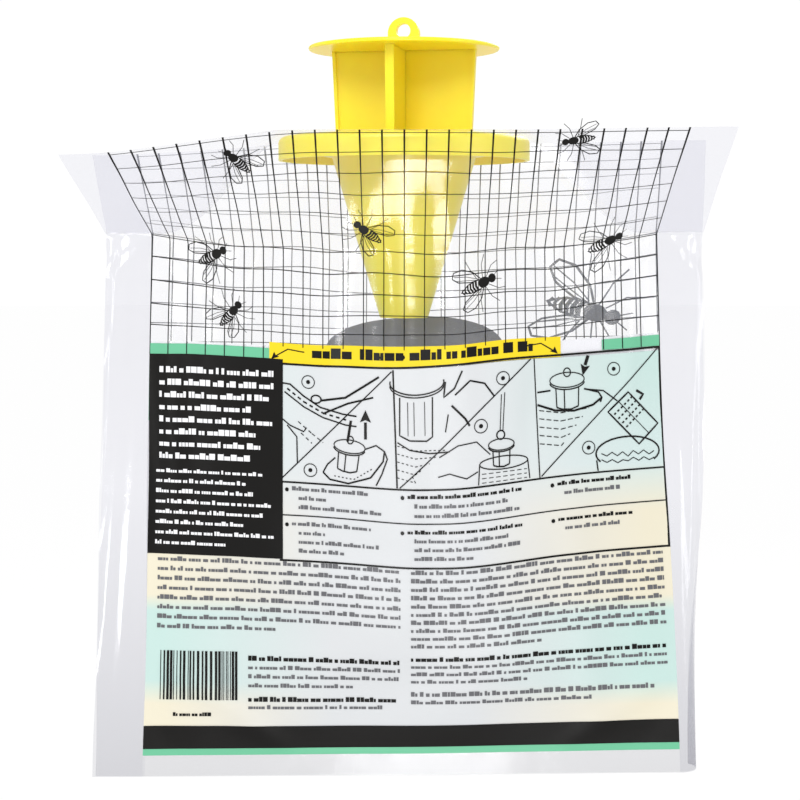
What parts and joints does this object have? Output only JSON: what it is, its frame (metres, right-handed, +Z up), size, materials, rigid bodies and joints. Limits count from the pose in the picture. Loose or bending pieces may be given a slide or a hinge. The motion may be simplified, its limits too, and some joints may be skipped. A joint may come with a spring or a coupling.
{
  "type": "hanging fly trap",
  "caption": "Disposable hanging fly trap: a moulded cap with vanes and an entry funnel slides in the flange ring of a printed clear film bag that holds a soluble bait sachet.",
  "frame": {"origin": "centre of the hanging eye in the lug on top of the cap", "axes": "+Z up along the cap's and the funnel's axis, +X across the bag, -Y towards the label side of the bag"},
  "size_m": [0.221, 0.0932, 0.2666],
  "materials": {
    "yellow_plastic": "glossy injection moulded, slightly translucent",
    "printed_film": "clear polyethylene film with a printed grid and label",
    "clear_film": "clear crinkled polyethylene film, heat sealed",
    "soluble_film": "thin cloudy water soluble film",
    "bait_powder": "fine dry powder"
  },
  "bodies": {
    "cap": {"cap_disc": "yellow_plastic", "hang_loop": "yellow_plastic", "vane_right": "yellow_plastic", "vane_back": "yellow_plastic", "vane_left": "yellow_plastic", "vane_front": "yellow_plastic", "entry_funnel": "yellow_plastic"},
    "bag": {"flange_ring": "yellow_plastic", "bag_front_panel": "printed_film", "bag_back_panel": "printed_film", "bag_top_gusset": "printed_film", "ear_front_left": "clear_film", "ear_front_right": "clear_film", "ear_back_left": "clear_film", "ear_back_right": "clear_film", "side_seal_left": "clear_film", "side_seal_right": "clear_film", "bottom_seal": "clear_film", "attractant_pouch": "soluble_film", "attractant_powder": "bait_powder"}
  },
  "joints": [
    {"name": "bag_slide", "type": "slide", "parent": "cap", "child": "bag", "axis": [0, 0, 1], "range_m": [0, 0.0288]}
  ]
}
